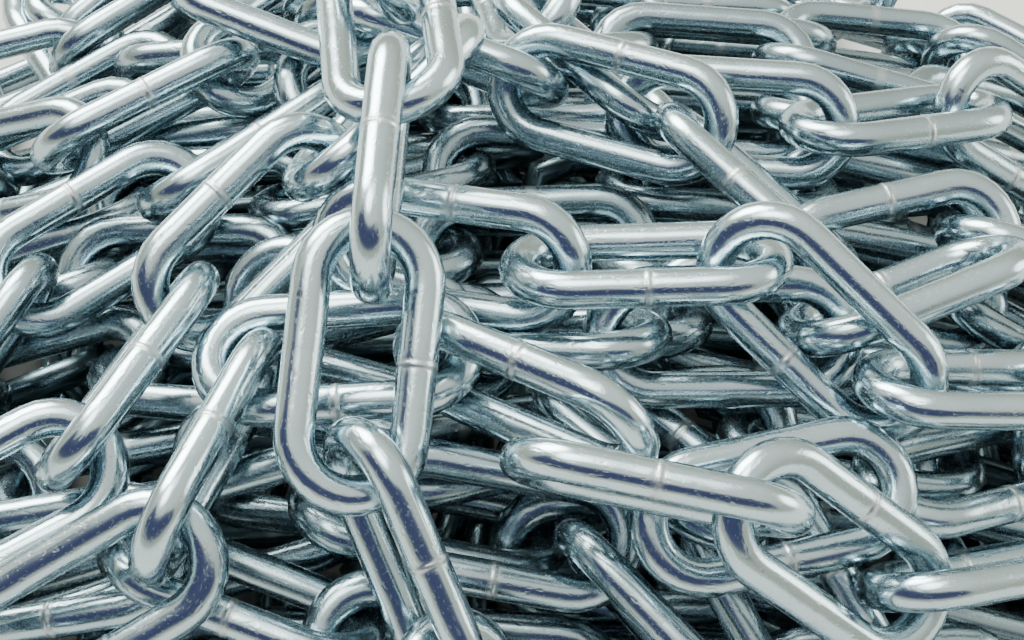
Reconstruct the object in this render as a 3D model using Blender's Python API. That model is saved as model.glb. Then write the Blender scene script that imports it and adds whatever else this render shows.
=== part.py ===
"""Heap of zinc-plated iron chain.

Lengths of long-link chain lie thrown together in a low mound. Every link is a round wire bent to a long
eye. The lengths on top are single links, hooked through each other with a little play. The lengths
underneath share one solid each, joined where their links bear on each other. The part of the heap that
nothing shows of is one plain core with a flat foot.

Metres, +Z up. The floor is Z = 0, with the origin under the middle of the heap.
"""
import math

import bmesh
import bpy
import numpy as np
from mathutils import Matrix

MM = 0.001

# One link, measured over the wire
WIRE = 5.0 * MM
LINK_LENGTH = 38.0 * MM
LINK_WIDTH = 19.0 * MM
ARC_STEPS = 3

# How the links meet: play between separate pieces, bite where the links of one solid bear on each other
CLEARANCE = 0.35 * MM
BEARING_BITE = 0.9 * MM
HOOK_PLAY = 2.0 * MM

# The hidden middle of the heap
CORE_HALF_WIDTH = 108.0 * MM
CORE_HALF_DEPTH = 90.0 * MM
CORE_HEIGHT = 40.0 * MM
CORE_SQUARENESS = 3.6
CORE_FALL = 3.2
CORE_SIDES = 32
CORE_STEPS = 12

# Laying: the chain is a little slack, and the links have a seeded unevenness in their turn, in radians
SLACK = 0.985
LAY_SEED = 11
UNEVEN = 0.25
UNEVEN_SEEN = 0.1
ROUTE_STEPS = 12
RUN_ON = 200.0 * MM

# The length round the foot of the heap: how far out it lies, how much of the way round it goes, and its turn
FOOT_RING = 9.0 * MM
FOOT_SHARE = 0.94
FOOT_ROLL = 40

# The lower lengths: rows across the heap, how high they start over the core in wires, and their least and
# most turn
LOWER_ROWS = 13
ROWS_PER_LENGTH = (3, 3, 4, 3)
LOWER_LIFTS = (2.2, 3.0)
LOWER_ROLLS = (30, 60)
ROW_WAVE = 26.0 * MM

# Seating: how far a link sinks in a pass, how hard it may press before it stops sinking, the most it may
# shift and turn in a pass, how much more firmly it keeps its turn than its place, and how near a pair of
# links is watched and for how many passes
SINK_FAST, SINK_SLOW, SINK_LAST = 0.5 * MM, 0.15 * MM, 0.05 * MM
PRESS = 0.4 * MM
MOST_SHIFT, MOST_TURN = 1.0 * MM, 0.08
TURN_HOLD = 5
WATCH_GAP, WATCH_PASSES = 2.5 * MM, 8
CROWDED = 1.5

# Decimals of places and axes after each pass, so that the last bits of a sum never decide how a link lies
PLACE_DECIMALS, AXIS_DECIMALS = 7, 6

# The side that the heap is looked at from: from the front, down at this angle
SIGHT_FALL = math.radians(50)
TO_VIEWER = np.array([0.0, -math.cos(SIGHT_FALL), math.sin(SIGHT_FALL)])

# The lengths on top, as they are seen from the viewer's side: height over the core in millimetres, number of
# the key point, how many links lie before it and how many there are in all, turn of the link after it in
# degrees (0 shows its full face and 90 its edge), twist from link to link, plan points in millimetres
MIDDLE_LENGTHS = {
    "middle_chain_1": (10, 1, 1, 4, 0, 0, [(-98, -56), (-72, -47), (-45, -46), (-16, -59), (4, -72)]),
    "middle_chain_2": (10, 1, 1, 3, 10, 0, [(0, -22), (24, -45), (44, -65), (62, -84)]),
    "middle_chain_3": (10, 1, 1, 3, 60, 0, [(98, -18), (72, -29), (45, -39), (15, -42)]),
}
TOP_LENGTHS = {
    "chain_a": (18, 2, 1, 3, 90, 0, [(-18, 66), (-27, 41), (-43, 28), (-63, 11), (-87, 17), (-102, 20)]),
    "chain_b": (18, 2, 2, 5, 0, 0,
                [(-107, -42), (-80, -31), (-68, -11), (-48, 6), (-28, 23), (-9, 48), (-2, 58)]),
    "chain_c": (18, 1, 1, 5, 75, 0, [(98, 34), (68, 24), (37, 12), (15, 22), (1, 46), (-2, 70)]),
    "chain_d": (20, 2, 2, 6, 80, 0,
                [(98, -4), (70, -3), (40, -12), (22, 17), (-5, 27), (-30, 37), (-52, 53)]),
    "chain_e": (17, 2, 2, 4, 85, 0, [(66, -2), (42, -14), (16, -26), (-13, -23), (-44, -14)]),
    "chain_f": (18, 3, 2, 4, 90, -15,
                [(40, -50), (13, -38), (-11, -30), (-36, -26), (-44, -54), (-74, -60)]),
    "chain_g": (19, 3, 2, 3, 85, 0, [(92, -41), (66, -50), (46, -53), (27, -42), (0, -34)]),
    "chain_h": (20, 2, 2, 4, 80, 0, [(-7, 42), (-20, 9), (-39, -18), (-58, -41), (-83, -52)]),
    "chain_i": (19, 2, 1, 2, 10, 0, [(41, -84), (30, -68), (13, -51), (-12, -45), (-40, -45)]),
    "chain_j": (22, 3, 3, 5, 70, 0,
                [(98, -18), (73, -27), (49, -33), (29, -16), (2, -14), (-23, -4), (-41, 10)]),
    "chain_k": (27, 2, 2, 6, 90, -30,
                [(-20, 64), (-16, 33), (-14, 7), (-16, -19), (-17, -45), (-8, -71), (2, -92)]),
}


def eye_centreline():
    """Corners of one link's centreline in its own plane, the long way along X."""
    bend = (LINK_WIDTH - WIRE) / 2
    straight = (LINK_LENGTH - LINK_WIDTH) / 2
    corners = []
    for end in (1, -1):
        for step in range(ARC_STEPS + 1):
            turn = math.pi * (step / ARC_STEPS - 0.5)
            corners.append((end * (straight + bend * math.cos(turn)), end * bend * math.sin(turn), 0.0))
    return np.array(corners)


def core_height(x, y):
    """Height of the core's top over plan points, below zero outside its foot."""
    out = (np.abs(x / CORE_HALF_WIDTH) ** CORE_SQUARENESS
           + np.abs(y / CORE_HALF_DEPTH) ** CORE_SQUARENESS) ** (1 / CORE_SQUARENESS)
    return CORE_HEIGHT * (1 - out ** CORE_FALL)


def core_normal(x, y):
    """Outward normal of the core's top, straight up where that is over a wire away."""
    small = 0.5 * MM
    inside = core_height(x, y) > -WIRE
    slope_x = (core_height(x + small, y) - core_height(x - small, y)) / (2 * small) * inside
    slope_y = (core_height(x, y + small) - core_height(x, y - small)) / (2 * small) * inside
    normal = np.stack([-slope_x, -slope_y, np.ones_like(slope_x)], axis=-1)
    return normal / np.linalg.norm(normal, axis=-1, keepdims=True)


def smooth_route(points, fine):
    """A smooth plan line through the points, in metres."""
    ends = np.array(points, float) * MM
    ends = np.vstack([2 * ends[0] - ends[1], ends, 2 * ends[-1] - ends[-2]])
    line = []
    for k in range(1, len(ends) - 2):
        a, b, c, d = ends[k - 1:k + 3]
        for t in np.arange(fine) / fine:
            line.append(0.5 * (2 * b + (c - a) * t + (2 * a - 5 * b + 4 * c - d) * t * t
                               + (3 * b - a - 3 * c + d) * t ** 3))
    line.append(ends[-2])
    return np.array(line)


def lay_links(points, lift, key, before, count, roll, twist, uneven, facing, rng):
    """Centres and axes of links strung along a route over the core, one link starting at the key point.

    A count of None fills the route. A set count runs straight on past the route's ends where it has to.
    """
    plan = smooth_route(points, ROUTE_STEPS)
    ground = np.maximum(core_height(plan[:, 0], plan[:, 1]), 0)
    line = np.column_stack([plan, ground + lift])
    along = np.concatenate([[0], np.cumsum(np.linalg.norm(np.diff(line, axis=0), axis=1))])
    pitch = (LINK_LENGTH - 2 * WIRE) * SLACK
    start = along[key * ROUTE_STEPS] - before * pitch
    if count is None:
        count = int((along[-1] - start) / pitch)
    run_on = [RUN_ON * (end - near) / np.linalg.norm(end - near)
              for end, near in ((line[0], line[1]), (line[-1], line[-2]))]
    line = np.vstack([line[0] + run_on[0], line, line[-1] + run_on[1]])
    along = np.concatenate([[-RUN_ON], along, [along[-1] + RUN_ON]])
    centres, frames = [], []
    for k in range(count):
        tail, head = (np.array([np.interp(start + n * pitch, along, line[:, i]) for i in range(3)])
                      for n in (k, k + 1))
        centre = (tail + head) / 2
        ahead = (head - tail) / np.linalg.norm(head - tail)
        aside = np.cross(core_normal(centre[0], centre[1]) if facing is None else facing, ahead)
        aside /= np.linalg.norm(aside)
        turn = math.radians(roll + (k - before) * (90 + twist)) + rng.uniform(-uneven, uneven)
        across = aside * math.cos(turn) + np.cross(ahead, aside) * math.sin(turn)
        centres.append(centre)
        frames.append(np.column_stack([ahead, across, np.cross(ahead, across)]))
    return np.array(centres), np.array(frames)


def ring_route():
    """Plan route of the length that lies on the floor round the core's foot, almost all the way."""
    points = []
    for turn in np.linspace(-FOOT_SHARE, FOOT_SHARE, 33) * math.pi:
        x, y = math.cos(turn), math.sin(turn)
        out_x, out_y = (math.copysign(abs(way) ** (2 / CORE_SQUARENESS), way) for way in (x, y))
        points.append(((CORE_HALF_WIDTH + FOOT_RING) / MM * out_x, (CORE_HALF_DEPTH + FOOT_RING) / MM * out_y))
    return points


def lower_routes(rng):
    """Plan routes of the lower lengths: each goes across the heap and doubles back beside itself."""
    y = np.linspace(-CORE_HALF_DEPTH, CORE_HALF_DEPTH, 400)
    over = np.concatenate([[0], np.cumsum(np.hypot(np.diff(y), np.diff(core_height(0 * y, y))))])
    rows = []
    for k in range(LOWER_ROWS):
        middle = np.interp(over[-1] * (k + 0.5) / LOWER_ROWS, over, y)
        half = CORE_HALF_WIDTH * (1 - abs(middle / (CORE_HALF_DEPTH + FOOT_RING)) ** CORE_SQUARENESS
                                  ) ** (1 / CORE_SQUARENESS)
        wave, phase = rng.uniform(3, 6), rng.uniform(0, 2 * math.pi)
        row = [(x / MM, middle / MM + wave * math.sin(phase + x / ROW_WAVE))
               for x in np.linspace(-half, half, 7)]
        rows.append(row[::-1] if k % 2 else row)
    routes, first = [], 0
    for count in ROWS_PER_LENGTH:
        routes.append(sum(rows[first:first + count], []))
        first += count
    return routes


def nearest_points(a, b, c, d):
    """Nearest points of the straight pieces a-b and c-d, many pairs at a time, mid-way if parallel."""
    ab, cd, off = b - a, d - c, a - c
    aa, cc, ac = (np.einsum("ij,ij->i", m, n) for m, n in ((ab, ab), (cd, cd), (ab, cd)))
    ao, co = (np.einsum("ij,ij->i", m, off) for m in (ab, cd))
    parallel = 0.001 * aa * cc
    s = np.clip((ac * co - ao * cc + 0.5 * parallel) / (aa * cc - ac * ac + parallel), 0, 1)
    t = np.clip((ac * s + co) / cc, 0, 1)
    s = np.clip((ac * t - ao) / aa, 0, 1)
    return a + ab * s[:, None], c + cd * t[:, None]


class Heap:
    """The links laid so far, as rigid centrelines that are seated on the core and cleared of each other."""

    def __init__(self):
        self.eye = eye_centreline()
        ahead = np.roll(self.eye, -1, axis=0)
        self.half = np.linalg.norm(ahead - self.eye, axis=1) / 2
        middle, share = (ahead + self.eye) / 2, self.half / self.half.sum()
        spin_x, spin_y = (share * middle[:, 1] ** 2).sum(), (share * middle[:, 0] ** 2).sum()
        self.ease = 1 / np.array([spin_x, spin_y, spin_x + spin_y])
        self.crown = np.array([(LINK_LENGTH - WIRE) / 2, 0, 0])
        self.centres, self.frames = np.zeros((0, 3)), np.zeros((0, 3, 3))
        self.home_centres, self.home_frames = np.zeros((0, 3)), np.zeros((0, 3, 3))
        self.pressed, self.seen = np.zeros(0), np.zeros(0)
        self.hooks, self.joined = np.zeros((0, 2), int), np.zeros(0, bool)
        self.lengths = {}

    def add(self, name, centres, frames, joined, seen=False):
        first, count = len(self.centres), len(centres)
        self.centres = np.vstack([self.centres, centres])
        self.frames = np.concatenate([self.frames, frames])
        self.pressed = np.zeros(first + count)
        self.round_off()
        self.home_centres = np.vstack([self.home_centres, self.centres[first:]])
        self.home_frames = np.concatenate([self.home_frames, self.frames[first:]])
        self.seen = np.concatenate([self.seen, np.full(count, float(seen))])
        self.lengths[name] = range(first, first + count)
        self.hooks = np.vstack([self.hooks, np.arange(first, first + count - 1)[:, None] + [0, 1]])
        self.joined = np.concatenate([self.joined, np.full(count - 1, joined)])

    def round_off(self):
        self.centres = np.round(self.centres, PLACE_DECIMALS)
        self.frames = np.round(self.frames, AXIS_DECIMALS)
        self.pressed = np.round(self.pressed, PLACE_DECIMALS)

    def raise_clear(self, name):
        """Lift a length along the viewer's line until it is clear of everything under it."""
        links = list(self.lengths[name])
        rest = self.top_near(self.centres[links, :2], links[0])
        lift = (rest + WIRE - self.centres[links, 2]).max() / TO_VIEWER[2]
        self.centres[links] += max(0, lift) * TO_VIEWER

    def corners(self):
        return self.centres[:, None] + np.einsum("nij,kj->nki", self.frames, self.eye)

    def top_near(self, plan, count):
        """Height about each plan point of the highest wire of the first links, or of the core."""
        corners = self.corners()[:count]
        wire = np.concatenate([corners, (corners + np.roll(corners, -1, axis=1)) / 2], axis=1).reshape(-1, 3)
        far = np.linalg.norm(plan[:, None] - wire[None, :, :2], axis=2)
        near = np.where(far < 0.6 * LINK_WIDTH, wire[None, :, 2] + WIRE / 2, 0).max(axis=1)
        return np.maximum(near, core_height(plan[:, 0], plan[:, 1]))

    def close_pieces(self, margin):
        """Straight pieces of different links that lie within a margin of touching."""
        apart = np.linalg.norm(self.centres[:, None] - self.centres[None], axis=2)
        i, j = np.where(np.triu(apart < LINK_LENGTH + WIRE + margin, 1))
        corners = self.corners()
        middle = (corners + np.roll(corners, -1, axis=1)) / 2
        apart = np.linalg.norm(middle[i][:, :, None] - middle[j][:, None], axis=3)
        reach = self.half[:, None] + self.half[None] + WIRE + CLEARANCE + margin
        pair, m, n = np.where(apart < reach)
        i, j = i[pair], j[pair]
        bearing = np.isin(i, self.hooks[self.joined, 0]) & (j == i + 1)
        target = np.where(bearing, WIRE - BEARING_BITE, WIRE + CLEARANCE)
        return i, m, j, n, bearing, target

    def seat(self, passes, sink, homing=0.0, carry=0.0):
        """Let the links sink towards the core, and move them apart wherever their wires come too close."""
        count = len(self.centres)
        last_shift, last_spin = np.zeros((count, 3)), np.zeros((count, 3))
        low, high = self.hooks.T
        for turn in range(passes):
            if turn % WATCH_PASSES == 0:
                i, m, j, n, bearing, target = self.close_pieces(WATCH_GAP)
            ease_off = np.clip(1 - self.pressed / PRESS, 0, 1)[:, None]
            fall = core_normal(self.centres[:, 0], self.centres[:, 1])
            if homing:
                fall = np.where(self.seen[:, None] > 0, TO_VIEWER, fall)
            self.centres -= sink * ease_off * fall
            stray = self.home_centres - self.centres
            stray -= (stray @ TO_VIEWER)[:, None] * TO_VIEWER
            lean = self.home_frames @ self.frames.transpose(0, 2, 1)
            lean = np.stack([lean[:, 2, 1] - lean[:, 1, 2], lean[:, 0, 2] - lean[:, 2, 0],
                             lean[:, 1, 0] - lean[:, 0, 1]], axis=1) / 2
            self.centres += homing * self.seen[:, None] * stray
            self.frames = turned(TURN_HOLD * homing * self.seen[:, None] * lean) @ self.frames
            corners = self.corners()
            ahead = np.roll(corners, -1, axis=1)

            # Wires that are too close, and hooks that have come apart
            at_i, at_j = nearest_points(corners[i, m], ahead[i, m], corners[j, n], ahead[j, n])
            apart = at_i - at_j
            gap = np.linalg.norm(apart, axis=1)
            tightest = np.full(count, np.inf)
            np.minimum.at(tightest, i[bearing], gap[bearing])
            hit = (gap < target) | (bearing & (gap <= tightest[i]))
            end_low = self.centres[low] + self.frames[low] @ self.crown
            end_high = self.centres[high] - self.frames[high] @ self.crown
            lap = np.linalg.norm(end_low - end_high, axis=1)
            one, other = np.concatenate([i[hit], low]), np.concatenate([j[hit], high])
            need = np.concatenate([(target - gap)[hit], np.minimum(0, WIRE + HOOK_PLAY - lap)])
            way = np.vstack([apart[hit] / np.maximum(gap[hit], 1e-9)[:, None],
                             (end_low - end_high) / lap[:, None]])
            pair = np.unique(one * 100000 + other, return_inverse=True)[1]
            share = np.abs(need) + 1e-9
            share /= np.bincount(pair, weights=share)[pair]

            # Wires that are too deep in the core or the floor
            points = np.concatenate([corners, (corners + ahead) / 2], axis=1).reshape(-1, 3)
            owner = np.repeat(np.arange(count), len(points) // count)
            ground = core_height(points[:, 0], points[:, 1])
            normal = core_normal(points[:, 0], points[:, 1])
            deep_core = (ground - points[:, 2]) * normal[:, 2] + WIRE / 2 + CLEARANCE
            deep_core[ground < -WIRE] = 0
            deep_floor = WIRE / 2 - points[:, 2]
            normal = np.where((deep_floor > deep_core)[:, None], np.array([0.0, 0.0, 1.0]), normal)
            deep = np.maximum(deep_core, deep_floor)
            sunk = deep > 0
            sunk_load = np.bincount(owner[sunk], weights=deep[sunk], minlength=count)
            sunk_share = deep[sunk] / sunk_load[owner[sunk]]

            who = np.concatenate([one, other, owner[sunk]])
            where = np.vstack([at_i[hit], end_low, at_j[hit], end_high, points[sunk]]) - self.centres[who]
            push = np.vstack([way, -way, normal[sunk]])
            lever = np.einsum("nji,nj->ni", self.frames[who], np.cross(where, push))
            give = 1 + (lever ** 2 * self.ease).sum(axis=1)
            pairs = len(one)
            give_pair = np.tile(give[:pairs] + give[pairs:2 * pairs], 2)
            amount = np.concatenate([np.tile(need, 2) / give_pair, deep[sunk] / give[2 * pairs:]])
            part = np.concatenate([share, share, sunk_share])
            amount *= part
            shift, spin, load = np.zeros((count, 3)), np.zeros((count, 3)), np.zeros(count)
            np.add.at(shift, who, push * amount[:, None])
            wheel = np.einsum("nij,nj->ni", self.frames[who], lever * self.ease)
            np.add.at(spin, who, wheel * amount[:, None])
            np.add.at(load, who, part)
            self.pressed = np.zeros(count)
            press = np.where(other == one + 1, 0, need)
            np.maximum.at(self.pressed, who, np.concatenate([press, press, deep[sunk]]))
            calm = (CROWDED / np.maximum(load, CROWDED))[:, None]
            shift, spin = shift * calm + carry * last_shift, spin * calm + carry * last_spin
            shift *= np.minimum(1, MOST_SHIFT / np.maximum(np.linalg.norm(shift, axis=1), 1e-12))[:, None]
            spin *= np.minimum(1, MOST_TURN / np.maximum(np.linalg.norm(spin, axis=1), 1e-12))[:, None]
            self.centres += shift
            self.frames = turned(spin) @ self.frames
            self.round_off()
            last_shift, last_spin = np.round(shift, PLACE_DECIMALS), np.round(spin, AXIS_DECIMALS)
        axes, _, across = np.linalg.svd(self.frames)
        self.frames = axes @ across
        self.round_off()


def turned(spin):
    """Rotation matrices for many turns given as axis times angle."""
    angle = np.linalg.norm(spin, axis=1)
    axis = spin / np.maximum(angle, 1e-12)[:, None]
    skew = np.zeros((len(spin), 3, 3))
    skew[:, 0, 1], skew[:, 0, 2], skew[:, 1, 2] = -axis[:, 2], axis[:, 1], -axis[:, 0]
    skew -= skew.transpose(0, 2, 1)
    return (np.eye(3) + np.sin(angle)[:, None, None] * skew
            + (1 - np.cos(angle))[:, None, None] * (skew @ skew))


def lay_heap():
    """Lay the lower lengths, throw the top lengths over them, and let everything settle clear."""
    rng = np.random.default_rng(LAY_SEED)
    heap = Heap()
    heap.add("foot_chain", *lay_links(ring_route(), WIRE, 0, 0, None, FOOT_ROLL, 0, UNEVEN, None, rng), True)
    heap.seat(120, SINK_SLOW)
    for k, route in enumerate(lower_routes(rng)):
        lift = WIRE * LOWER_LIFTS[k % 2]
        laid = lay_links(route, lift, 0, 0, None, rng.uniform(*LOWER_ROLLS), 0, UNEVEN, None, rng)
        heap.add(f"lower_chain_{k + 1}", *laid, True)
    heap.seat(260, SINK_SLOW)
    for name, (height, *laying, route) in {**MIDDLE_LENGTHS, **TOP_LENGTHS}.items():
        laid = lay_links(route, height * MM, *laying, UNEVEN_SEEN, TO_VIEWER, rng)
        heap.add(name, *laid, name in MIDDLE_LENGTHS, True)
        heap.raise_clear(name)
        heap.seat(80, SINK_FAST, homing=0.02)
    heap.seat(200, SINK_SLOW, homing=0.01)
    heap.seat(80, SINK_LAST, homing=0.005)
    heap.seat(500, 0.0, carry=0.9)
    return heap


def new_object(name, mesh, material, collection):
    for face in mesh.polygons:
        face.use_smooth = True
    mesh.materials.clear()
    mesh.materials.append(material)
    piece = bpy.data.objects.new(name, mesh)
    collection.objects.link(piece)
    return piece


def link_mesh():
    """One link: a six-sided wire bent round the eye's centreline."""
    curve = bpy.data.curves.new("eye_line", "CURVE")
    curve.dimensions = "3D"
    curve.bevel_depth = WIRE / 2
    curve.bevel_resolution = 1
    spline = curve.splines.new("POLY")
    corners = eye_centreline()
    spline.points.add(len(corners) - 1)
    spline.use_cyclic_u = True
    for point, corner in zip(spline.points, corners):
        point.co = (*corner, 1)
    holder = bpy.data.objects.new("eye_line", curve)
    bpy.context.scene.collection.objects.link(holder)
    bpy.context.view_layer.update()
    mesh = bpy.data.meshes.new_from_object(holder.evaluated_get(bpy.context.evaluated_depsgraph_get()))
    bpy.data.objects.remove(holder)
    bpy.data.curves.remove(curve)
    return mesh


def placed(mesh, centre, frame):
    """A copy of the link's mesh at its place in the heap."""
    place = Matrix.Identity(4)
    for row in range(3):
        for column in range(3):
            place[row][column] = frame[row][column]
        place[row][3] = centre[row]
    copy = mesh.copy()
    copy.transform(place)
    return copy


def core_mesh():
    """The core: the upper half of a ball, drawn out to the core's plan and height."""
    work = bmesh.new()
    bmesh.ops.create_uvsphere(work, u_segments=CORE_SIDES, v_segments=CORE_STEPS, radius=1)
    everything = work.verts[:] + work.edges[:] + work.faces[:]
    cut = bmesh.ops.bisect_plane(work, geom=everything, plane_co=(0, 0, 0), plane_no=(0, 0, -1),
                                 clear_outer=True)
    bmesh.ops.contextual_create(work, geom=[e for e in cut["geom_cut"] if isinstance(e, bmesh.types.BMEdge)])
    for vert in work.verts:
        out = min(1.0, math.hypot(vert.co.x, vert.co.y))
        if out < 1e-6:
            vert.co = (0, 0, CORE_HEIGHT)
            continue
        x, y = vert.co.x / out, vert.co.y / out
        reach = ((abs(x) / CORE_HALF_WIDTH) ** CORE_SQUARENESS
                 + (abs(y) / CORE_HALF_DEPTH) ** CORE_SQUARENESS) ** (-1 / CORE_SQUARENESS)
        vert.co = (x * reach * out, y * reach * out, CORE_HEIGHT * (1 - out ** CORE_FALL))
    bmesh.ops.recalc_face_normals(work, faces=work.faces)
    mesh = bpy.data.meshes.new("core")
    work.to_mesh(mesh)
    work.free()
    return mesh


def metal(name, colour, roughness):
    material = bpy.data.materials.new(name)
    material.use_nodes = True
    shader = material.node_tree.nodes["Principled BSDF"]
    shader.inputs["Base Color"].default_value = (*colour, 1)
    shader.inputs["Metallic"].default_value = 1.0
    shader.inputs["Roughness"].default_value = roughness
    return material


for old in list(bpy.data.objects):
    bpy.data.objects.remove(old)

heap_pieces = bpy.data.collections.new("iron_chain_heap")
cutters = bpy.data.collections.new("joined_links")
bpy.context.scene.collection.children.link(heap_pieces)
bpy.context.scene.collection.children.link(cutters)

heap = lay_heap()
eye = link_mesh()
for name, links in heap.lengths.items():
    zinc = metal(f"zinc_{name}", (0.62, 0.64, 0.66), 0.25)
    if name.startswith("chain"):
        for number, k in enumerate(links):
            link = placed(eye, heap.centres[k], heap.frames[k])
            new_object(f"{name}_link_{number + 1}", link, zinc, heap_pieces)
        continue
    whole = new_object(name, placed(eye, heap.centres[links[0]], heap.frames[links[0]]), zinc, heap_pieces)
    for k in links[1:]:
        part = new_object(f"{name}_part_{k}", placed(eye, heap.centres[k], heap.frames[k]), zinc, cutters)
        part.display_type = "WIRE"
        part.hide_render = True
    join = whole.modifiers.new("join", "BOOLEAN")
    join.operation = "UNION"
    join.solver = "EXACT"
    join.operand_type = "COLLECTION"
    join.collection = cutters
    bpy.context.view_layer.update()
    joined = bpy.data.meshes.new_from_object(whole.evaluated_get(bpy.context.evaluated_depsgraph_get()))
    whole.modifiers.clear()
    whole.data = joined
    for part in list(cutters.objects):
        bpy.data.objects.remove(part)

dark = metal("zinc_core", (0.30, 0.31, 0.33), 0.5)
core = new_object("core", core_mesh(), dark, heap_pieces)
for face in core.data.polygons:
    face.use_smooth = face.normal.z > -0.5

# Bring the middle of the heap over the origin
corners = np.array([vert.co for piece in heap_pieces.objects for vert in piece.data.vertices])
middle = (corners.min(axis=0) + corners.max(axis=0)) / 2
for piece in heap_pieces.objects:
    piece.data.transform(Matrix.Translation((-middle[0], -middle[1], 0)))
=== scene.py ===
# %% [markdown]
# # A heap of bright zinc-plated chain
# Long-link chain is sold loose from a bin: round steel wire, cut, bent to an eye, butt welded in the middle
# of one leg, and zinc plated. What the picture lives on is the plating, which is nearly a mirror, so the
# shape of every link has to be clean, and the light has to be worth reflecting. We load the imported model
# first. It says where each link lies, and nothing in it is moved.

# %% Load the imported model
import math

import bpy
import numpy as np
from mathutils import Matrix, Vector


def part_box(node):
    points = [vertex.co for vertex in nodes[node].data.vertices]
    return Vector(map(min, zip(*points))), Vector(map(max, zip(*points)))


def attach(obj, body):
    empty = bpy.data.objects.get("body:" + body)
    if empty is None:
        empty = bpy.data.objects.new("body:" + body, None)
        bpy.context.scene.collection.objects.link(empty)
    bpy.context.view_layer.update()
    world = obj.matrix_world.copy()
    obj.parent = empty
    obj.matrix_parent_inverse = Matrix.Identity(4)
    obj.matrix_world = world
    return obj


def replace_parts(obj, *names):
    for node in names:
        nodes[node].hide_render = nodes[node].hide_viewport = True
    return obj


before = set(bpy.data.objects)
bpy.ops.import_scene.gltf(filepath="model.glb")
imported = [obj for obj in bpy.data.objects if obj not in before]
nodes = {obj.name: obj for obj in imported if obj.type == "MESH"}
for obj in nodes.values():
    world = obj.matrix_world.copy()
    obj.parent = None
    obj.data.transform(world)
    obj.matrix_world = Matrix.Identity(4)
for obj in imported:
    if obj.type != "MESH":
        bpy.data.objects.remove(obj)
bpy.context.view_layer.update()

# %% [markdown]
# The wire is 5 mm thick, and a link measures 38 by 19 mm over the wire. We work in metres, as Blender does,
# and write sizes as millimetres times MM. A link's own axes are X along it, Y across it and Z through it.

# %% Sizes of the chain
MM = 0.001
WIRE = 5 * MM
LINK_LENGTH = 38 * MM
LINK_WIDTH = 19 * MM
BEND = (LINK_WIDTH - WIRE) / 2
HALF_LEG = (LINK_LENGTH - LINK_WIDTH) / 2
ROUND_TRIP = 4 * HALF_LEG + 2 * math.pi * BEND
PITCH = LINK_LENGTH - 2 * WIRE
seeded = np.random.default_rng(5)
print(f"centreline of one link: {ROUND_TRIP / MM:.1f} mm")

# %% [markdown]
# In the model each top link is a node of its own. Its corners are spread evenly about its middle, so their
# mean is the link's centre, and the directions in which they spread most and next most are its length and
# its width. That is what the eigenvectors of their covariance give, and no number has to be copied.


# %% Where a single link lies
def place_of(centre, along, across):
    """The matrix that carries a link modelled at the origin to its place in the heap."""
    along, across = Vector(along).normalized(), Vector(across).normalized()
    through = along.cross(across)
    return Matrix.Translation(centre) @ Matrix((along, across, through)).transposed().to_4x4()


def place_of_single(node):
    corners = np.unique(np.array([v.co for v in node.data.vertices]).round(6), axis=0)
    middle = corners.mean(axis=0)
    spread = np.linalg.eigh(np.cov((corners - middle).T))[1]
    return place_of(middle, spread[:, 2], spread[:, 1])


places = {name: [place_of_single(nodes[name])] for name in sorted(nodes) if name.startswith("chain_")}
print(len(places), "single links")

# %% [markdown]
# A lower length is one node, with all of its links joined where they bear on each other. Every straight leg
# still has its six long edges, parallel and evenly spaced round the leg. The outer edges are longer than the
# inner ones, because the wire's corners are mitred, so the lengths of the six also say which way the middle
# of the link lies. Where a neighbour cuts an edge short its middle moves, so only edges whose middles lie in
# one plane across the leg are counted. Each leg gives one vote for a link's centre, and two legs make a link.

# %% Find the legs of a joined length
LONGER_PER_OUT = 2 * math.tan(math.radians(15))
LEG_TOLERANCE, SLOPE_TOLERANCE = 0.15, 0.01
PARALLEL, SAME_LEG, SAME_PLANE = 0.999995, 1.1 * WIRE, 0.05 * MM
FEWEST_EDGES = 4


def leg_edges(node):
    """Middles, directions and lengths of the edges that are about as long as a leg."""
    points = np.array([v.co for v in node.data.vertices])
    ends = points[np.array([e.vertices[:] for e in node.data.edges])]
    way = ends[:, 1] - ends[:, 0]
    size = np.linalg.norm(way, axis=1)
    keep = np.abs(size / (2 * HALF_LEG) - 1) < LEG_TOLERANCE
    way = way[keep] / size[keep, None]
    way *= np.where(way @ (1, 0.01, 0.0001) < 0, -1, 1)[:, None]
    middle = ends[keep].mean(axis=1)
    first = np.unique(np.hstack([middle.round(5), way.round(4)]), axis=0, return_index=True)[1]
    return middle[first], way[first], size[keep][first]


def centre_from_leg(middle, way, size):
    """The link's centre and axes that the long edges of one leg speak for, or None if the leg is cut into."""
    along = Vector(way.mean(axis=0)).normalized()
    side = along.orthogonal().normalized()
    flat = np.array([side, along.cross(side)])
    start = middle.mean(axis=0)
    seen = (middle - start) @ flat.T
    ones = np.ones(len(seen))
    ring = np.linalg.lstsq(np.column_stack([2 * seen, ones]), (seen ** 2).sum(axis=1), rcond=None)[0][:2]
    slope = np.linalg.lstsq(np.column_stack([seen - ring, ones]), size, rcond=None)[0][:2]
    if abs(np.linalg.norm(slope) / LONGER_PER_OUT - 1) > SLOPE_TOLERANCE:
        return None
    out = slope @ flat / np.linalg.norm(slope)
    return start + ring @ flat - BEND * out, along, out


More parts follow.
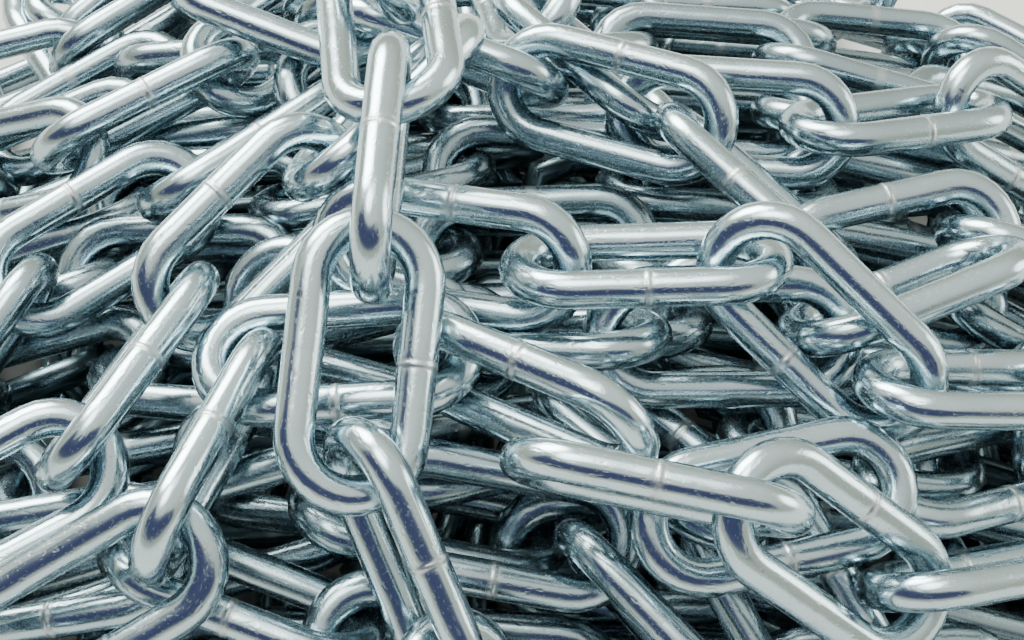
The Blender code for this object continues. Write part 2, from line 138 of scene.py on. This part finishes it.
# %% Where the links of a joined length lie
def places_of_joined(node):
    middle, way, size = leg_edges(node)
    waiting, found = np.ones(len(middle), bool), []
    for k in range(len(middle)):
        leg = waiting & (np.abs(way @ way[k]) > PARALLEL)
        leg &= np.linalg.norm(middle - middle[k], axis=1) < SAME_LEG
        leg &= np.abs((middle - middle[k]) @ way[k]) < SAME_PLANE
        if leg.sum() < FEWEST_EDGES:
            continue
        waiting &= ~leg
        vote = centre_from_leg(middle[leg], way[leg], size[leg])
        if vote and all(np.linalg.norm(vote[0] - other[0]) > WIRE / 5 for other in found):
            found.append(vote)
    return [place_of(*vote) for vote in found]


for name in sorted(set(nodes) - set(places) - {"core"}):
    places[name] = places_of_joined(nodes[name])
    print(name, len(places[name]), "links")

# %% [markdown]
# Now one link, made as the factory makes it. A ring of wire section starts at the weld, in the middle of a
# leg. Extruding it makes the leg, and Spin carries it round the bend. The weld is a thin raised bead with a
# shallow groove beside it, so the first and last few rings are a little larger or smaller than the wire.
# A curve with a bevel would be quicker, but it can't change section at the weld. Three grades come from the
# same steps: fine for the links on top, lighter for those under them, and plain for those deep in the heap.

# %% Steps of the link's outline
WELD_RINGS = ((0.0, 1.02), (0.16, 1.016), (0.28, 1.0), (0.42, 0.984), (0.66, 1.0), (1.3, 1.0))
NO_WELD = ((0.0, 1.0),)


def nothing_selected():
    if bpy.context.object and bpy.context.object.mode == "EDIT":
        bpy.ops.object.mode_set(mode="OBJECT")
    bpy.ops.object.select_all(action="DESELECT")


def step_along(distance, grow, leg_at):
    """Extrude the selected ring along X, and make the new one larger or smaller about its leg's middle."""
    bpy.ops.mesh.extrude_region_move(TRANSFORM_OT_translate={"value": (distance, 0, 0)})
    if grow != 1:
        bpy.ops.transform.resize(value=(1, grow, grow), center_override=(0, leg_at, 0))


def bend_round(end, steps):
    bpy.ops.mesh.spin(steps=steps, angle=-math.pi, center=(end * HALF_LEG, 0, 0), axis=(0, 0, 1))


# %% Model one link
def model_link(name, sides, bend_steps, leg_steps, weld):
    nothing_selected()
    bpy.ops.mesh.primitive_circle_add(vertices=sides, radius=WIRE / 2 * weld[0][1],
                                      location=(0, -BEND, 0), rotation=(0, math.pi / 2, 0))
    link = bpy.context.object
    link.name = link.data.name = name
    bpy.ops.object.transform_apply(location=True, rotation=True, scale=True)
    bpy.ops.object.mode_set(mode="EDIT")
    bpy.ops.mesh.select_all(action="SELECT")
    run = (HALF_LEG - weld[-1][0] * MM) / leg_steps
    for (here, size), (there, next_size) in zip(weld, weld[1:]):
        step_along((there - here) * MM, next_size / size, -BEND)
    for _ in range(leg_steps):
        step_along(run, 1, -BEND)
    bend_round(1, bend_steps)
    for _ in range(2 * leg_steps):
        step_along(-HALF_LEG / leg_steps, 1, BEND)
    bend_round(-1, bend_steps)
    for _ in range(leg_steps):
        step_along(run, 1, -BEND)
    for (here, size), (there, next_size) in zip(weld[::-1], weld[::-1][1:]):
        step_along((here - there) * MM, next_size / size, -BEND)
    bpy.ops.mesh.select_all(action="SELECT")
    bpy.ops.mesh.remove_doubles(threshold=0.01 * MM)
    bpy.ops.mesh.normals_make_consistent(inside=False)
    bpy.ops.object.mode_set(mode="OBJECT")
    bpy.ops.object.shade_smooth()
    return link


fine_link = model_link("fine_link", 32, 14, 4, WELD_RINGS)
light_link = model_link("light_link", 16, 10, 2, NO_WELD)
plain_link = model_link("plain_link", 6, 4, 1, NO_WELD)
for link in (fine_link, light_link, plain_link):
    print(link.name, len(link.data.polygons), "faces,", [round(side / MM, 2) for side in link.dimensions])

# %% [markdown]
# The plating carries fine lines from the die that the wire was drawn through, and they follow the wire round
# its bends. So the link gets a UV map that follows the wire too: U is the way along the centreline from the
# weld, and V is the way round the wire. Every face takes its own values, so the map has no smear where the
# two ends meet.

# %% Map the wire
def wire_map(link):
    mesh = link.data
    points = np.array([v.co for v in mesh.vertices])
    x, y, z = points.T
    end = np.sign(x) * (np.abs(x) > HALF_LEG)
    over = np.abs(x) - HALF_LEG
    bent = np.arctan2(over, np.abs(y))
    out = np.where(end == 0, np.abs(y), np.hypot(over, y)) - BEND
    leg = np.where(end == 0, np.abs(x), HALF_LEG + BEND * bent)
    half = ROUND_TRIP / 2
    along = np.where(y < 0, np.where(x < 0, -leg, leg), np.where(x < 0, leg - half, half - leg))
    around = np.arctan2(z, out) / (2 * math.pi)
    layer = mesh.uv_layers.new(name="wire")
    for face in mesh.polygons:
        spots = [(along[v] / ROUND_TRIP, around[v]) for v in face.vertices]
        for loop, spot in zip(face.loop_indices, spots):
            layer.data[loop].uv = [a + 1 if max(s[i] for s in spots) - a > 0.5 else a
                                   for i, a in enumerate(spot)]


for link in (fine_link, light_link, plain_link):
    wire_map(link)
    corners = np.array([spot.uv for spot in link.data.uv_layers["wire"].data])
    print(link.name, "map from", corners.min(axis=0).round(2), "to", corners.max(axis=0).round(2))

# %% [markdown]
# The links are laid by carrying copies of the model to the places found above. A real link is never quite
# like the next, so each copy is a hair longer, wider or thinner, and its weld may be on either leg. Where the
# picture shows the weld, a table says which way that leg lies from the link's middle. Each copy also gets a
# number of its own, which the plating uses to look different. The links of a joined length become one mesh,
# as the node that they stand for is one node.

# %% Lay the links
UNEVEN = 0.006
LONGEST_FINE = 4
RIGHT, FAR, NEAR, UP = Vector((1, 0, 0)), Vector((0, 1, 0)), Vector((0, -1, 0)), Vector((0, 0, 1))
WELD_TOWARD = {"chain_k_link_4": RIGHT, "chain_k_link_5": UP, "chain_j_link_3": NEAR, "chain_b_link_3": FAR,
               "chain_g_link_3": UP, "chain_g_link_2": FAR, "chain_d_link_4": FAR, "chain_d_link_2": FAR,
               "chain_f_link_3": UP, "chain_h_link_3": UP}


def lay_link(model, name, place, weld_toward=None):
    """A copy of a link in its place, with its mesh in the heap's frame."""
    turned = place.col[1].xyz.dot(weld_toward) > 0 if weld_toward else seeded.random() < 0.5
    turn = Matrix.Diagonal((1, -1, -1, 1) if turned else (1, 1, 1, 1))
    uneven = Matrix.Diagonal((*(1 + seeded.uniform(-UNEVEN, UNEVEN, 3)), 1))
    link = model.copy()
    link.data = model.data.copy()
    link.name = link.data.name = name
    bpy.context.collection.objects.link(link)
    link.data.transform(place @ turn @ uneven)
    own = link.data.attributes.new("own_number", "FLOAT", "POINT")
    own.data.foreach_set("value", np.full(len(link.data.vertices), seeded.random()))
    return link


def join_links(links, name):
    nothing_selected()
    for link in links:
        link.select_set(True)
    bpy.context.view_layer.objects.active = links[0]
    bpy.ops.object.join()
    links[0].name = links[0].data.name = name
    return links[0]


# %% Lay the top lengths and the lower lengths
laid = {}
for node, spots in places.items():
    model = fine_link if len(spots) <= LONGEST_FINE else light_link
    links = [lay_link(model, f"welded_{node}", spot, WELD_TOWARD.get(node)) for spot in spots]
    laid[node] = join_links(links, f"links_of_{node}") if len(links) > 1 else links[0]
    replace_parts(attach(laid[node], "root"), node)
print(len(laid), "pieces,", sum(len(piece.data.polygons) for piece in laid.values()), "faces")

# %% [markdown]
# Under the lengths that show lies more chain. The model has a plain core there, and the work of this step is
# to fill that space with real links, because gaps between the top links let you look in. The strands follow
# the core's top in two layers that cross, with each link turned on its side against the next, as chain
# settles, and reach the floor near the rim. Nothing of them shows whole, so the plain grade is enough.

# %% Fill the core's space with chain
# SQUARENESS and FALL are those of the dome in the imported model.
core_low, core_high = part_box("core")
core_middle = (core_low + core_high) / 2
core_half = (core_high - core_low) / 2
SQUARENESS, FALL = 3.6, 3.2
ON_FLOOR, THIN_RIM = 9 * MM, 8 * MM
HOOKED = 0.985
LEAN, LEAN_SPREAD = 45, 10


def core_top(x, y):
    """Height of the core's top over a point of the floor."""
    out = (abs((x - core_middle.x) / core_half.x) ** SQUARENESS
           + abs((y - core_middle.y) / core_half.y) ** SQUARENESS) ** (1 / SQUARENESS)
    return core_high.z * (1 - out ** FALL)


def strand(start, heading, count, depth):
    """Places of the links of one strand that keeps a depth under the core's top, down to the floor."""
    spots = []
    for k in range(count):
        at = start + heading * (k - (count - 1) / 2) * PITCH * HOOKED
        ends = [at + heading * side * PITCH / 2 for side in (-1, 1)]
        tops = [core_top(end.x, end.y) for end in ends]
        if min(tops) < THIN_RIM:
            continue
        heights = [max(top - depth, ON_FLOOR) for top in tops]
        tail, head = (Vector((end.x, end.y, height)) for end, height in zip(ends, heights))
        middle = (tail + head) / 2
        along = (head - tail).normalized()
        turn = math.radians(LEAN + 90 * (k % 2) + seeded.uniform(-LEAN_SPREAD, LEAN_SPREAD))
        level = Vector((0, 0, 1)).cross(along).normalized()
        spots.append(place_of(middle, along, Matrix.Rotation(turn, 3, along) @ level))
    return spots


# %% Lay the hidden strands
ACROSS, AWAY = Vector((1, 0, 0)), Vector((0, 1, 0))
LAYERS = ((8 * MM, ACROSS), (22 * MM, AWAY))
ROW, SHIFT_MM = 13.5 * MM, 9
STRAND_LINKS = 8
hidden = []
for depth, heading in LAYERS:
    aside = Vector((heading.y, heading.x, 0))
    rows = int(2 * (core_half.y if heading.x else core_half.x) / ROW)
    for row in range(rows):
        shift = heading * seeded.uniform(-SHIFT_MM, SHIFT_MM) * MM
        start = core_middle + aside * (row - (rows - 1) / 2) * ROW + shift
        hidden += strand(start, heading, STRAND_LINKS, depth)
links = [lay_link(plain_link, f"hidden_{k}", spot) for k, spot in enumerate(hidden)]
laid["core"] = join_links(links, "links_in_the_heap")
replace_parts(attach(laid["core"], "root"), "core")
for link in (fine_link, light_link, plain_link):
    bpy.data.objects.remove(link)
print(len(hidden), "hidden links")

# %% [markdown]
# Shader nodes are easier to read as sums than as boxes. This small class wraps one output socket, so that
# 1 - mask or mask * 0.2 adds its own Math node. Any other node comes from one method, which takes the kind of
# node, its settings and its inputs.

# %% A way to write shader maths
class Flow:
    """A number or vector that runs from one node to the next."""

    def __init__(self, finish, socket):
        self.finish, self.socket = finish, socket

    def maths(self, operation, *others):
        return self.finish.node("Math", {"operation": operation}, dict(enumerate((self, *others))))

    def __add__(self, other): return self.maths("ADD", other)
    __radd__ = __add__
    def __mul__(self, other): return self.maths("MULTIPLY", other)
    def __sub__(self, other): return self.maths("SUBTRACT", other)
    def __rsub__(self, other): return self * -1 + other
    def __pow__(self, other): return self.maths("POWER", other)
    def band(self, low, high):
        """0 up to low, 1 from high on, and smooth between them."""
        return self.finish.node("MapRange", {"interpolation_type": "SMOOTHSTEP"},
                                {"Value": self, "From Min": low, "From Max": high})


class Finish:
    """A material or a world, built from nodes round its main shader."""

    def __init__(self, owner, shader="Principled BSDF"):
        owner.use_nodes = True
        self.owner, self.tree = owner, owner.node_tree
        self.shader = self.tree.nodes[shader]

    def node(self, kind, settings=None, inputs=None, out=0):
        made = self.tree.nodes.new("ShaderNode" + kind)
        for key, value in (settings or {}).items():
            setattr(made, key, value)
        for key, value in (inputs or {}).items():
            self.set(made.inputs[key], value)
        return Flow(self, made.outputs[out])

    def set(self, socket, value):
        if isinstance(value, Flow):
            self.tree.links.new(value.socket, socket)
        else:
            socket.default_value = value

    def mix(self, share, low, high):
        return self.node("Mix", {"data_type": "RGBA"}, {0: share, 6: low, 7: high}, 2)


print("shader helpers ready")

# %% [markdown]
# Bright zinc plate is a thin, clear-blue metal. It is smooth enough to show the lamps as shapes, but it
# keeps the wire's drawing lines, some cloudiness from the bath, and small dents from lying in a bin. Round
# the weld the steel was burnt, and the plate is duller and paler there. Everything that follows the wire
# reads the wire map. It is wrapped round a cylinder first, with a sine and a cosine, so that a noise has no
# seam along the wire. Deep in the heap the colour is darkened as painted shade, for the dark gaps where little
# light reaches, and the plate is also made duller, so both change slowly from the top lengths down to the core.

# %% Zinc plate
# Shares of its colour that the plate keeps where it is cloudy, and where painted shade darkens it deep in the
# heap
CLOUDY, DEEP_SHADE = 0.92, (0.45, 0.49, 0.51, 1)
BURNT = (0.56, 0.55, 0.52, 1)
# Heights above the core's dome between which the painted shade fades and the plate goes from deep to bright
DEEP, SHALLOW = -8 * MM, 44 * MM


def zinc_plate(name, tint, dull):
    finish = Finish(bpy.data.materials.new(name))
    across = finish.node("SeparateXYZ", {}, {0: finish.node("UVMap", {"uv_map": "wire"})})
    around = finish.node("SeparateXYZ", {}, {0: finish.node("UVMap", {"uv_map": "wire"})}, 1) * (2 * math.pi)
    own = finish.node("Attribute", {"attribute_name": "own_number"}, {}, 2)
    steps = across + own * 7.3
    ring = around.maths("COSINE"), around.maths("SINE")

    def skin(along, round_it):
        return finish.node("CombineXYZ", {}, {0: steps * along, 1: ring[0] * round_it, 2: ring[1] * round_it})

    def noise(vector, detail=2.0):
        return finish.node("TexNoise", {}, {"Vector": vector, "Scale": 1.0, "Detail": detail})

    lines = noise(skin(9, 11), 2.0)
    cloud = noise(skin(14, 1.3), 2.0)
    swell = noise(skin(19, 0.8), 0.0)
    dents = noise(skin(46, 3.1), 1.0)
    nicks = noise(skin(150, 8), 0.0)
    sharp = nicks.band(0.62, 0.75)
    weld_way = (across.maths("FRACT") - 0.5).maths("ABSOLUTE")
    burnt = weld_way.band(0.485, 0.499)
    place = [finish.node("SeparateXYZ", {}, {0: finish.node("TexCoord", out=3)}, k) for k in range(3)]
    over = [((place[k] - core_middle[k]) * (1 / core_half[k])).maths("ABSOLUTE") ** SQUARENESS
            for k in (0, 1)]
    above_core = place[2] - (1 - (over[0] + over[1]) ** (FALL / SQUARENESS)) * core_high.z
    # Painted shade: below the dome's top the colour darkens towards the deep share, and the plate is also rougher
    # there
    deep_shade_and_dull = 1 - above_core.band(DEEP, SHALLOW)
    rough = (dull + lines * 0.05 + cloud * 0.07 + sharp * 0.1 + burnt * 0.16
             + deep_shade_and_dull * 0.08)
    colour = finish.mix(cloud.band(0.35, 0.7), tint, tuple(CLOUDY * c for c in tint[:3]) + (1,))
    # the painted shade deep in the heap is mixed into the colour here
    colour = finish.mix(deep_shade_and_dull, colour, tuple(c * d for c, d in zip(tint, DEEP_SHADE)))
    colour = finish.mix(burnt * 0.4, colour, BURNT)
    height = (lines * 0.0028 + swell * 0.09 - dents.band(0.6, 0.8) * 0.02 - sharp * 0.004
              + burnt * nicks * 0.03)
    bump = finish.node("Bump", {}, {"Height": height, "Strength": 1.0, "Distance": MM})
    finish.set(finish.shader.inputs["Base Color"], colour)
    finish.set(finish.shader.inputs["Roughness"], rough)
    finish.set(finish.shader.inputs["Normal"], bump)
    finish.shader.inputs["Metallic"].default_value = 1.0
    return finish.owner


zinc = zinc_plate("bright_zinc_plate", (0.50, 0.625, 0.685, 1), 0.12)
# A darker copy of the plate for the links deep in the heap: its darker tint is painted shade, for the dark gaps
# between the links.
shaded_deep_zinc = zinc_plate("zinc_plate_painted_shade_deep_in_the_heap", (0.35, 0.46, 0.50, 1), 0.14)
for node, piece in laid.items():
    piece.data.materials.clear()
    piece.data.materials.append(shaded_deep_zinc if node == "core" else zinc)
    "core_links" if node == "core" else "zinc_plated_wire"
print([material.name for material in (zinc, shaded_deep_zinc)])

# %% [markdown]
# The floor is plain and pale. It only shows past the edge of the heap.

# %% Floor
nothing_selected()
bpy.ops.mesh.primitive_plane_add(size=6)
floor = bpy.context.object
floor.name = "floor"
pale = Finish(bpy.data.materials.new("pale_floor"))
pale.set(pale.shader.inputs["Base Color"],
         pale.mix(pale.node("TexNoise", {}, {"Scale": 9.0}), (0.60, 0.60, 0.59, 1), (0.64, 0.63, 0.61, 1)))
pale.shader.inputs["Roughness"].default_value = 0.7
floor.data.materials.append(pale.owner)
print(floor.name, "of", pale.owner.name)

# %% [markdown]
# Light decides what mirror-like wire looks like, because every wire shows the whole room, squeezed across its
# width. Here the room is a pale tent with one dark opening, in front and round to the left, between the
# horizon and halfway up. The tent gives each wire its broad grey top. The opening draws the narrow dark line
# just below the middle of a wire that lies across, or a dark spot where a bend comes round to face us.
# A lamp close behind the cloth of a tent makes a bright patch with a soft edge. Three of them, behind to the
# left, low at the right and nearly overhead, make the white streaks on the wires that run away from us.

# %% Directions in the room
room = Finish(bpy.data.worlds.new("pale_tent"), "Background")
bpy.context.scene.world = room.owner
toward = room.node("TexCoord")
east, north, up = (room.node("SeparateXYZ", {}, {0: toward}, k) for k in range(3))
aside = east.maths("ARCTAN2", north * -1) * (180 / math.pi)
rise = up.maths("ARCSINE") * (180 / math.pi)


def glow(azimuth, elevation, inner, outer):
    """1 within an angle of a direction, and less until 0 at a wider one. Azimuth 0 is in front, 90 right."""
    turn, lift = math.radians(azimuth), math.radians(elevation)
    way = (math.sin(turn) * math.cos(lift), -math.cos(turn) * math.cos(lift), math.sin(lift))
    facing = room.node("VectorMath", {"operation": "DOT_PRODUCT"}, {0: toward, 1: way}, 1)
    return facing.band(math.cos(math.radians(outer)), math.cos(math.radians(inner)))


print("directions ready in", room.owner.name)


# %% The tent, its opening and its lamps
TENT_HIGH, TENT_LOW = (1.28, 1.27, 1.13, 1), (0.76, 0.75, 0.59, 1)
OPENING = (0.078, 0.085, 0.19, 1)
cloth = room.mix(rise.band(5, 60), TENT_LOW, TENT_HIGH)
# The edges of the opening are in degrees: aside from the front, more to the right, and up from the horizon.
roof = 50 - (aside - 22).maths("MAXIMUM", 0) * 0.5
opening = aside.band(-93, -84) * (1 - aside.band(46, 58)) * rise.band(9, 15)
opening = opening * (1 - (rise - roof).band(-4, 3))
light = room.mix(opening, cloth, OPENING)
LAMPS = ((glow(-145, 42, 4, 24), 22), (glow(100, 14, 6, 20), 6), (glow(-80, 77, 5, 20), 8))
for patch, strength in LAMPS:
    light = room.mix(patch, light, (1.03 * strength, 1.06 * strength, 0.97 * strength, 1))
room.set(room.shader.inputs["Color"], light)
room.shader.inputs["Strength"].default_value = 1.0
print(len(LAMPS), "lamps behind the tent")

# %% [markdown]
# One real lamp hangs over the heap. It is large and soft, and gives the floor its gentle shadow.

# %% Lamp overhead
lamp = bpy.data.lights.new("overhead_panel", "AREA")
lamp.shape, lamp.size, lamp.size_y = "RECTANGLE", 0.5, 0.35
lamp.energy = 1.2
holder = bpy.data.objects.new("overhead_panel", lamp)
bpy.context.collection.objects.link(holder)
holder.location = (-0.05, 0.15, 1.0)
print(f"{lamp.name}: {lamp.energy:.1f} W")

# %% [markdown]
# The camera looks down at 50 degrees from the front, close to the heap, so that one wire is about 37 pixels
# wide in the picture, and the heap fills the frame.

# %% Camera
LOOK_DOWN = math.radians(50)
PICTURE_PIXELS, FOCAL_PIXELS, WIRE_PIXELS = 1024, 2100, 37
FOCAL = FOCAL_PIXELS / PICTURE_PIXELS
DISTANCE = WIRE * FOCAL_PIXELS / WIRE_PIXELS
SENSOR = 36
look_at = Vector((-0.0016, -0.0195, 0.058))
camera = bpy.data.objects.new("camera", bpy.data.cameras.new("camera"))
bpy.context.collection.objects.link(camera)
camera.data.sensor_width, camera.data.lens = SENSOR, SENSOR * FOCAL
camera.data.clip_start = 0.01
camera.location = look_at + DISTANCE * Vector((0, -math.cos(LOOK_DOWN), math.sin(LOOK_DOWN)))
camera.rotation_euler = (math.pi / 2 - LOOK_DOWN, 0, 0)
bpy.context.scene.camera = camera
print(f"camera {DISTANCE / MM:.0f} mm away, lens {camera.data.lens:.1f} mm")
